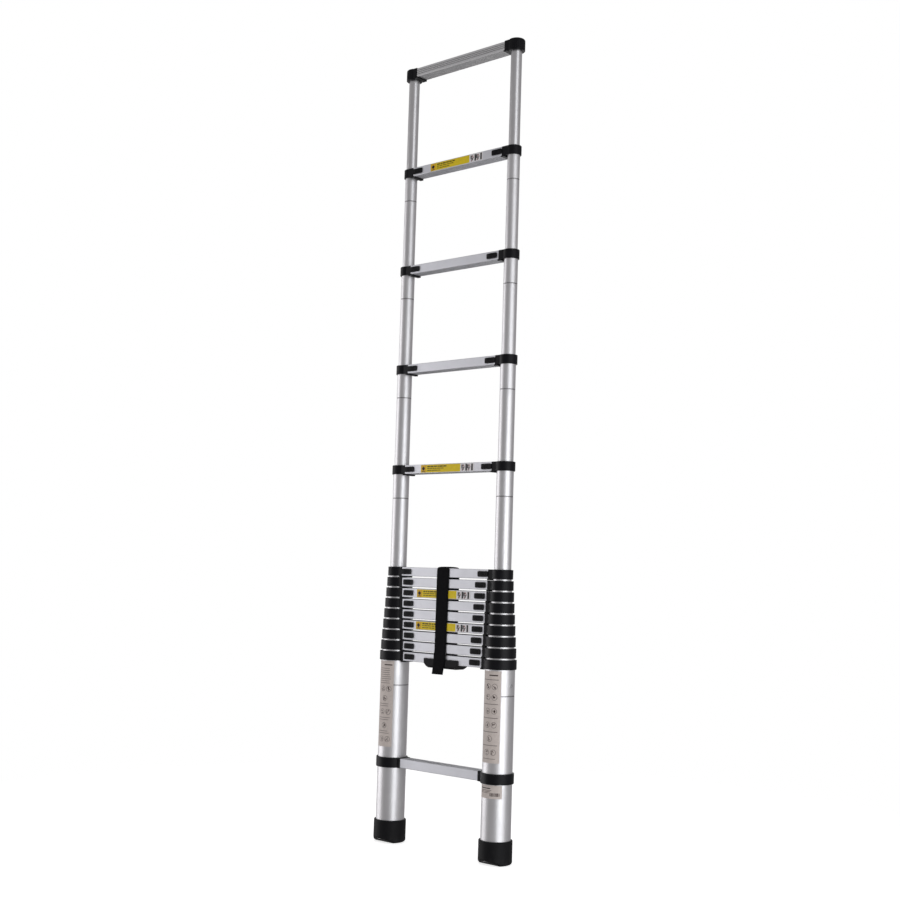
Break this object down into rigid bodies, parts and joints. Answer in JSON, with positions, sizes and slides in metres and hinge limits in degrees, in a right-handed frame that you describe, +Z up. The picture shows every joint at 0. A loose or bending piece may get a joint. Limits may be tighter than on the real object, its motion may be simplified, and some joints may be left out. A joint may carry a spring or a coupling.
{
  "type": "telescopic extension ladder",
  "caption": "Telescopic aluminium extension ladder with nested round stiles, slide-button rung latches, rubber feet, carry handle and strap, partly extended.",
  "frame": {"origin": "on the ground at the level of the flat part of the soles, midway between the two stile axes", "axes": "+Z up along the stiles, X along the rungs, the side with the latch buttons faces -Y"},
  "size_m": [0.488, 0.092, 2.2693],
  "materials": {
    "anodised_aluminium": "satin",
    "black_plastic": "fine matt grain",
    "latch_plastic": "fine matt grain",
    "handle_plastic": "satin",
    "foot_rubber": "satin",
    "webbing": "woven hook-and-loop webbing",
    "rivet_steel": "satin"
  },
  "bodies": {
    "section_14": {"section_14_tubes_and_rung": "anodised_aluminium", "section_14_collars": "black_plastic", "bottom_rung": "anodised_aluminium", "bottom_rung_clamps": "black_plastic", "rubber_feet": "foot_rubber", "carry_handle": "handle_plastic", "tube_rivets": "rivet_steel"},
    "section_13": {"section_13_tubes_and_rung": "anodised_aluminium", "section_13_collars": "black_plastic"},
    "section_12": {"section_12_tubes_and_rung": "anodised_aluminium", "section_12_collars": "black_plastic"},
    "section_11": {"section_11_tubes_and_rung": "anodised_aluminium", "section_11_collars": "black_plastic"},
    "section_10": {"section_10_tubes_and_rung": "anodised_aluminium", "section_10_collars": "black_plastic"},
    "section_09": {"section_09_tubes_and_rung": "anodised_aluminium", "section_09_collars": "black_plastic"},
    "section_08": {"section_08_tubes_and_rung": "anodised_aluminium", "section_08_collars": "black_plastic"},
    "section_07": {"section_07_tubes_and_rung": "anodised_aluminium", "section_07_collars": "black_plastic"},
    "section_06": {"section_06_tubes_and_rung": "anodised_aluminium", "section_06_collars": "black_plastic", "strap": "webbing"},
    "section_05": {"section_05_tubes_and_rung": "anodised_aluminium", "section_05_collars": "black_plastic"},
    "section_04": {"section_04_tubes_and_rung": "anodised_aluminium", "section_04_collars": "black_plastic"},
    "section_03": {"section_03_tubes_and_rung": "anodised_aluminium", "section_03_collars": "black_plastic"},
    "section_02": {"section_02_tubes_and_rung": "anodised_aluminium", "section_02_collars": "black_plastic"},
    "section_01": {"section_01_tubes_and_rung": "anodised_aluminium", "section_01_end_caps": "black_plastic"},
    "latch_02_left": {"latch_02_left": "latch_plastic"},
    "latch_02_right": {"latch_02_right": "latch_plastic"},
    "latch_03_left": {"latch_03_left": "latch_plastic"},
    "latch_03_right": {"latch_03_right": "latch_plastic"},
    "latch_04_left": {"latch_04_left": "latch_plastic"},
    "latch_04_right": {"latch_04_right": "latch_plastic"},
    "latch_05_left": {"latch_05_left": "latch_plastic"},
    "latch_05_right": {"latch_05_right": "latch_plastic"},
    "latch_06_left": {"latch_06_left": "latch_plastic"},
    "latch_06_right": {"latch_06_right": "latch_plastic"},
    "latch_07_left": {"latch_07_left": "latch_plastic"},
    "latch_07_right": {"latch_07_right": "latch_plastic"},
    "latch_08_left": {"latch_08_left": "latch_plastic"},
    "latch_08_right": {"latch_08_right": "latch_plastic"},
    "latch_09_left": {"latch_09_left": "latch_plastic"},
    "latch_09_right": {"latch_09_right": "latch_plastic"},
    "latch_10_left": {"latch_10_left": "latch_plastic"},
    "latch_10_right": {"latch_10_right": "latch_plastic"},
    "latch_11_left": {"latch_11_left": "latch_plastic"},
    "latch_11_right": {"latch_11_right": "latch_plastic"},
    "latch_12_left": {"latch_12_left": "latch_plastic"},
    "latch_12_right": {"latch_12_right": "latch_plastic"},
    "latch_13_left": {"latch_13_left": "latch_plastic"},
    "latch_13_right": {"latch_13_right": "latch_plastic"},
    "latch_14_left": {"latch_14_left": "latch_plastic"},
    "latch_14_right": {"latch_14_right": "latch_plastic"}
  },
  "joints": [
    {"name": "section_13_slide", "type": "slide", "parent": "section_14", "child": "section_13", "axis": [0, 0, 1], "range_m": [0, 0.2648]},
    {"name": "section_12_slide", "type": "slide", "parent": "section_13", "child": "section_12", "axis": [0, 0, 1], "range_m": [0, 0.2648]},
    {"name": "section_11_slide", "type": "slide", "parent": "section_12", "child": "section_11", "axis": [0, 0, 1], "range_m": [0, 0.2648]},
    {"name": "section_10_slide", "type": "slide", "parent": "section_11", "child": "section_10", "axis": [0, 0, 1], "range_m": [0, 0.2648]},
    {"name": "section_09_slide", "type": "slide", "parent": "section_10", "child": "section_09", "axis": [0, 0, 1], "range_m": [0, 0.2648]},
    {"name": "section_08_slide", "type": "slide", "parent": "section_09", "child": "section_08", "axis": [0, 0, 1], "range_m": [0, 0.2648]},
    {"name": "section_07_slide", "type": "slide", "parent": "section_08", "child": "section_07", "axis": [0, 0, 1], "range_m": [0, 0.2648]},
    {"name": "section_06_slide", "type": "slide", "parent": "section_07", "child": "section_06", "axis": [0, 0, 1], "range_m": [0, 0.2648]},
    {"name": "section_05_slide", "type": "slide", "parent": "section_06", "child": "section_05", "axis": [0, 0, 1], "range_m": [-0.2648, 0]},
    {"name": "section_04_slide", "type": "slide", "parent": "section_05", "child": "section_04", "axis": [0, 0, 1], "range_m": [-0.2648, 0]},
    {"name": "section_03_slide", "type": "slide", "parent": "section_04", "child": "section_03", "axis": [0, 0, 1], "range_m": [-0.2648, 0]},
    {"name": "section_02_slide", "type": "slide", "parent": "section_03", "child": "section_02", "axis": [0, 0, 1], "range_m": [-0.2648, 0]},
    {"name": "section_01_slide", "type": "slide", "parent": "section_02", "child": "section_01", "axis": [0, 0, 1], "range_m": [-0.2648, 0]},
    {"name": "latch_02_left_slide", "type": "slide", "parent": "section_02", "child": "latch_02_left", "axis": [1, 0, 0], "range_m": [0, 0.0075], "stiffness_N_per_m": 200},
    {"name": "latch_02_right_slide", "type": "slide", "parent": "section_02", "child": "latch_02_right", "axis": [-1, 0, 0], "range_m": [0, 0.0075], "stiffness_N_per_m": 200},
    {"name": "latch_03_left_slide", "type": "slide", "parent": "section_03", "child": "latch_03_left", "axis": [1, 0, 0], "range_m": [0, 0.0075], "stiffness_N_per_m": 200},
    {"name": "latch_03_right_slide", "type": "slide", "parent": "section_03", "child": "latch_03_right", "axis": [-1, 0, 0], "range_m": [-0.006, 0.0015], "stiffness_N_per_m": 200},
    {"name": "latch_04_left_slide", "type": "slide", "parent": "section_04", "child": "latch_04_left", "axis": [1, 0, 0], "range_m": [0, 0.0075], "stiffness_N_per_m": 200},
    {"name": "latch_04_right_slide", "type": "slide", "parent": "section_04", "child": "latch_04_right", "axis": [-1, 0, 0], "range_m": [0, 0.0075], "stiffness_N_per_m": 200},
    {"name": "latch_05_left_slide", "type": "slide", "parent": "section_05", "child": "latch_05_left", "axis": [1, 0, 0], "range_m": [0, 0.0075], "stiffness_N_per_m": 200},
    {"name": "latch_05_right_slide", "type": "slide", "parent": "section_05", "child": "latch_05_right", "axis": [-1, 0, 0], "range_m": [0, 0.0075], "stiffness_N_per_m": 200},
    {"name": "latch_06_left_slide", "type": "slide", "parent": "section_06", "child": "latch_06_left", "axis": [1, 0, 0], "range_m": [0, 0.0075], "stiffness_N_per_m": 200},
    {"name": "latch_06_right_slide", "type": "slide", "parent": "section_06", "child": "latch_06_right", "axis": [-1, 0, 0], "range_m": [0, 0.0075], "stiffness_N_per_m": 200},
    {"name": "latch_07_left_slide", "type": "slide", "parent": "section_07", "child": "latch_07_left", "axis": [1, 0, 0], "range_m": [-0.006, 0.0015], "stiffness_N_per_m": 200},
    {"name": "latch_07_right_slide", "type": "slide", "parent": "section_07", "child": "latch_07_right", "axis": [-1, 0, 0], "range_m": [-0.006, 0.0015], "stiffness_N_per_m": 200},
    {"name": "latch_08_left_slide", "type": "slide", "parent": "section_08", "child": "latch_08_left", "axis": [1, 0, 0], "range_m": [-0.006, 0.0015], "stiffness_N_per_m": 200},
    {"name": "latch_08_right_slide", "type": "slide", "parent": "section_08", "child": "latch_08_right", "axis": [-1, 0, 0], "range_m": [-0.006, 0.0015], "stiffness_N_per_m": 200},
    {"name": "latch_09_left_slide", "type": "slide", "parent": "section_09", "child": "latch_09_left", "axis": [1, 0, 0], "range_m": [-0.006, 0.0015], "stiffness_N_per_m": 200},
    {"name": "latch_09_right_slide", "type": "slide", "parent": "section_09", "child": "latch_09_right", "axis": [-1, 0, 0], "range_m": [-0.006, 0.0015], "stiffness_N_per_m": 200},
    {"name": "latch_10_left_slide", "type": "slide", "parent": "section_10", "child": "latch_10_left", "axis": [1, 0, 0], "range_m": [-0.006, 0.0015], "stiffness_N_per_m": 200},
    {"name": "latch_10_right_slide", "type": "slide", "parent": "section_10", "child": "latch_10_right", "axis": [-1, 0, 0], "range_m": [-0.006, 0.0015], "stiffness_N_per_m": 200},
    {"name": "latch_11_left_slide", "type": "slide", "parent": "section_11", "child": "latch_11_left", "axis": [1, 0, 0], "range_m": [-0.006, 0.0015], "stiffness_N_per_m": 200},
    {"name": "latch_11_right_slide", "type": "slide", "parent": "section_11", "child": "latch_11_right", "axis": [-1, 0, 0], "range_m": [-0.006, 0.0015], "stiffness_N_per_m": 200},
    {"name": "latch_12_left_slide", "type": "slide", "parent": "section_12", "child": "latch_12_left", "axis": [1, 0, 0], "range_m": [-0.006, 0.0015], "stiffness_N_per_m": 200},
    {"name": "latch_12_right_slide", "type": "slide", "parent": "section_12", "child": "latch_12_right", "axis": [-1, 0, 0], "range_m": [-0.006, 0.0015], "stiffness_N_per_m": 200},
    {"name": "latch_13_left_slide", "type": "slide", "parent": "section_13", "child": "latch_13_left", "axis": [1, 0, 0], "range_m": [-0.006, 0.0015], "stiffness_N_per_m": 200},
    {"name": "latch_13_right_slide", "type": "slide", "parent": "section_13", "child": "latch_13_right", "axis": [-1, 0, 0], "range_m": [-0.006, 0.0015], "stiffness_N_per_m": 200},
    {"name": "latch_14_left_slide", "type": "slide", "parent": "section_14", "child": "latch_14_left", "axis": [1, 0, 0], "range_m": [-0.006, 0.0015], "stiffness_N_per_m": 200},
    {"name": "latch_14_right_slide", "type": "slide", "parent": "section_14", "child": "latch_14_right", "axis": [-1, 0, 0], "range_m": [-0.006, 0.0015], "stiffness_N_per_m": 200}
  ]
}
